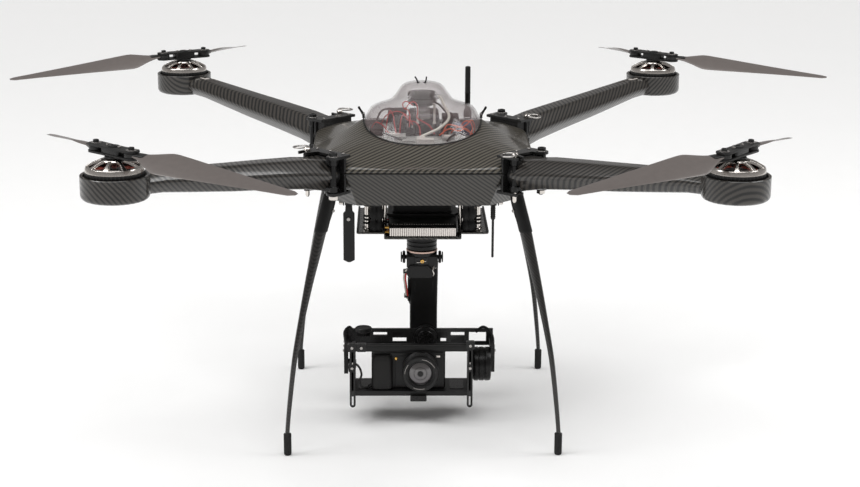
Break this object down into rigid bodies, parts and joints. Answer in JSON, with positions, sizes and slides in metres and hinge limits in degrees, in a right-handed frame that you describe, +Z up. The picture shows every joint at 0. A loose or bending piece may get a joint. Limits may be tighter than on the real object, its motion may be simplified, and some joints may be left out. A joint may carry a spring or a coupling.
{
  "type": "camera drone",
  "caption": "Folding multirotor camera drone: carbon body, fold-out arms with motors and folding propellers, curved legs and a stabilised camera gimbal.",
  "frame": {"origin": "centre of the flat underside of the body, on its vertical axis", "axes": "+Z up, -Y to the nose, +X to the right of someone who looks at the nose from in front"},
  "size_m": [1.5276, 1.4233, 0.59],
  "materials": {
    "carbon_shell": "woven carbon fibre under clear lacquer",
    "blade_carbon": "satin carbon fibre",
    "smoked_canopy": "smoke-tinted clear polycarbonate",
    "black_alloy": "black anodised",
    "silver_alloy": "bright machined",
    "black_plastic": "fine moulded texture",
    "boot_rubber": "matt",
    "windings": "enamelled copper",
    "deck_grey": "satin",
    "battery_wrap": "heat-shrink wrap",
    "camera_black": "grained body covering",
    "lens_black": "satin barrel and coated glass"
  },
  "bodies": {
    "airframe": {"lower_shell": "carbon_shell", "upper_shell": "carbon_shell", "flight_battery": "battery_wrap", "avionics_deck": "deck_grey", "flight_controller": "black_plastic", "gps_mast": "black_plastic", "telemetry_antenna": "black_plastic", "payload_tray": "carbon_shell", "video_transmitter": "silver_alloy", "gimbal_pan_motor": "black_alloy", "hinge_bolt_fl": "black_alloy", "leg_fl": "carbon_shell", "foot_fl": "boot_rubber", "hinge_bolt_fr": "black_alloy", "leg_fr": "carbon_shell", "foot_fr": "boot_rubber", "hinge_bolt_rr": "black_alloy", "leg_rr": "carbon_shell", "foot_rr": "boot_rubber", "hinge_bolt_rl": "black_alloy", "leg_rl": "carbon_shell", "foot_rl": "boot_rubber"},
    "canopy": {"canopy": "smoked_canopy"},
    "latch_left": {"canopy_latch_left": "black_plastic"},
    "latch_right": {"canopy_latch_right": "black_plastic"},
    "paddle": {"paddle_antenna": "black_plastic"},
    "whip": {"whip_antenna": "black_plastic"},
    "arm_fl": {"arm_fl": "carbon_shell", "motor_stator_fl": "windings"},
    "lock_pin_fl": {"lock_pin_fl": "black_alloy"},
    "rotor_fl": {"rotor_bell_fl": "silver_alloy", "prop_hub_fl": "black_alloy"},
    "blade_fl_1": {"blade_fl_1": "blade_carbon"},
    "blade_fl_2": {"blade_fl_2": "blade_carbon"},
    "arm_fr": {"arm_fr": "carbon_shell", "motor_stator_fr": "windings"},
    "lock_pin_fr": {"lock_pin_fr": "black_alloy"},
    "rotor_fr": {"rotor_bell_fr": "silver_alloy", "prop_hub_fr": "black_alloy"},
    "blade_fr_1": {"blade_fr_1": "blade_carbon"},
    "blade_fr_2": {"blade_fr_2": "blade_carbon"},
    "arm_rr": {"arm_rr": "carbon_shell", "motor_stator_rr": "windings"},
    "lock_pin_rr": {"lock_pin_rr": "black_alloy"},
    "rotor_rr": {"rotor_bell_rr": "silver_alloy", "prop_hub_rr": "black_alloy"},
    "blade_rr_1": {"blade_rr_1": "blade_carbon"},
    "blade_rr_2": {"blade_rr_2": "blade_carbon"},
    "arm_rl": {"arm_rl": "carbon_shell", "motor_stator_rl": "windings"},
    "lock_pin_rl": {"lock_pin_rl": "black_alloy"},
    "rotor_rl": {"rotor_bell_rl": "silver_alloy", "prop_hub_rl": "black_alloy"},
    "blade_rl_1": {"blade_rl_1": "blade_carbon"},
    "blade_rl_2": {"blade_rl_2": "blade_carbon"},
    "gimbal_arm": {"gimbal_arm": "black_alloy"},
    "roll_frame": {"roll_frame": "black_alloy"},
    "camera": {"camera_cage": "black_alloy", "camera_body": "camera_black", "camera_lens": "lens_black"}
  },
  "joints": [
    {"name": "arm_fold_fl", "type": "hinge", "parent": "airframe", "child": "arm_fl", "pos_m": [-0.14425, -0.19092, 0.058], "axis": [0, 0, 1], "range_deg": [0, 90]},
    {"name": "lock_pin_pull_fl", "type": "slide", "parent": "arm_fl", "child": "lock_pin_fl", "axis": [0, 0, 1], "range_m": [0, 0.07]},
    {"name": "rotor_spin_fl", "type": "hinge", "parent": "arm_fl", "child": "rotor_fl", "pos_m": [-0.45, -0.45, 0.14], "axis": [0, 0, 1], "continuous": true},
    {"name": "blade_fold_fl_1", "type": "hinge", "parent": "rotor_fl", "child": "blade_fl_1", "pos_m": [-0.42051, -0.47848, 0.15275], "axis": [0, 0, 1], "range_deg": [-100.8, 79.2]},
    {"name": "blade_fold_fl_2", "type": "hinge", "parent": "rotor_fl", "child": "blade_fl_2", "pos_m": [-0.47949, -0.42152, 0.15275], "axis": [0, 0, 1], "range_deg": [-67.8, 112.2]},
    {"name": "arm_fold_fr", "type": "hinge", "parent": "airframe", "child": "arm_fr", "pos_m": [0.19092, -0.14425, 0.058], "axis": [0, 0, 1], "range_deg": [0, 90]},
    {"name": "lock_pin_pull_fr", "type": "slide", "parent": "arm_fr", "child": "lock_pin_fr", "axis": [0, 0, 1], "range_m": [0, 0.07]},
    {"name": "rotor_spin_fr", "type": "hinge", "parent": "arm_fr", "child": "rotor_fr", "pos_m": [0.45, -0.45, 0.14], "axis": [0, 0, 1], "continuous": true},
    {"name": "blade_fold_fr_1", "type": "hinge", "parent": "rotor_fr", "child": "blade_fr_1", "pos_m": [0.42476, -0.48231, 0.15275], "axis": [0, 0, 1], "range_deg": [-72.9, 107.1]},
    {"name": "blade_fold_fr_2", "type": "hinge", "parent": "rotor_fr", "child": "blade_fr_2", "pos_m": [0.47524, -0.41769, 0.15275], "axis": [0, 0, 1], "range_deg": [-104.8, 75.2]},
    {"name": "arm_fold_rr", "type": "hinge", "parent": "airframe", "child": "arm_rr", "pos_m": [0.14425, 0.19092, 0.058], "axis": [0, 0, 1], "range_deg": [0, 75]},
    {"name": "lock_pin_pull_rr", "type": "slide", "parent": "arm_rr", "child": "lock_pin_rr", "axis": [0, 0, 1], "range_m": [0, 0.07]},
    {"name": "rotor_spin_rr", "type": "hinge", "parent": "arm_rr", "child": "rotor_rr", "pos_m": [0.45, 0.45, 0.14], "axis": [0, 0, 1], "continuous": true},
    {"name": "blade_fold_rr_1", "type": "hinge", "parent": "rotor_rr", "child": "blade_rr_1", "pos_m": [0.48094, 0.4231, 0.15275], "axis": [0, 0, 1], "range_deg": [-119.5, 60.5]},
    {"name": "blade_fold_rr_2", "type": "hinge", "parent": "rotor_rr", "child": "blade_rr_2", "pos_m": [0.41906, 0.4769, 0.15275], "axis": [0, 0, 1], "range_deg": [-48.3, 131.7]},
    {"name": "arm_fold_rl", "type": "hinge", "parent": "airframe", "child": "arm_rl", "pos_m": [-0.19092, 0.14425, 0.058], "axis": [0, 0, 1], "range_deg": [0, 60]},
    {"name": "lock_pin_pull_rl", "type": "slide", "parent": "arm_rl", "child": "lock_pin_rl", "axis": [0, 0, 1], "range_m": [0, 0.07]},
    {"name": "rotor_spin_rl", "type": "hinge", "parent": "arm_rl", "child": "rotor_rl", "pos_m": [-0.45, 0.45, 0.14], "axis": [0, 0, 1], "continuous": true},
    {"name": "blade_fold_rl_1", "type": "hinge", "parent": "rotor_rl", "child": "blade_rl_1", "pos_m": [-0.48551, 0.4295, 0.15275], "axis": [0, 0, 1], "range_deg": [-80.9, 99.1]},
    {"name": "blade_fold_rl_2", "type": "hinge", "parent": "rotor_rl", "child": "blade_rl_2", "pos_m": [-0.41449, 0.4705, 0.15275], "axis": [0, 0, 1], "range_deg": [-138.9, 41.1]},
    {"name": "gimbal_pan", "type": "hinge", "parent": "airframe", "child": "gimbal_arm", "pos_m": [0, 0, -0.11], "axis": [0, 0, 1], "range_deg": [-170, 170]},
    {"name": "gimbal_roll", "type": "hinge", "parent": "gimbal_arm", "child": "roll_frame", "pos_m": [0.0075, 0.04, -0.283], "axis": [0, 1, 0], "range_deg": [-40, 40]},
    {"name": "gimbal_tilt", "type": "hinge", "parent": "roll_frame", "child": "camera", "pos_m": [-0.016, -0.015, -0.314], "axis": [1, 0, 0], "range_deg": [-45, 90]},
    {"name": "canopy_lift", "type": "slide", "parent": "airframe", "child": "canopy", "axis": [0, 0, 1], "range_m": [0, 0.12]},
    {"name": "latch_swing_left", "type": "hinge", "parent": "airframe", "child": "latch_left", "pos_m": [-0.0988, -0.005, 0.1225], "axis": [0, -1, 0], "range_deg": [0, 55]},
    {"name": "latch_swing_right", "type": "hinge", "parent": "airframe", "child": "latch_right", "pos_m": [0.0988, -0.005, 0.1225], "axis": [0, 1, 0], "range_deg": [0, 55]},
    {"name": "paddle_antenna_fold", "type": "hinge", "parent": "airframe", "child": "paddle", "pos_m": [-0.122, -0.1, -0.007], "axis": [1, 0, 0], "range_deg": [0, 85]},
    {"name": "whip_antenna_fold", "type": "hinge", "parent": "airframe", "child": "whip", "pos_m": [0.116, -0.1, -0.007], "axis": [1, 0, 0], "range_deg": [0, 85]}
  ]
}
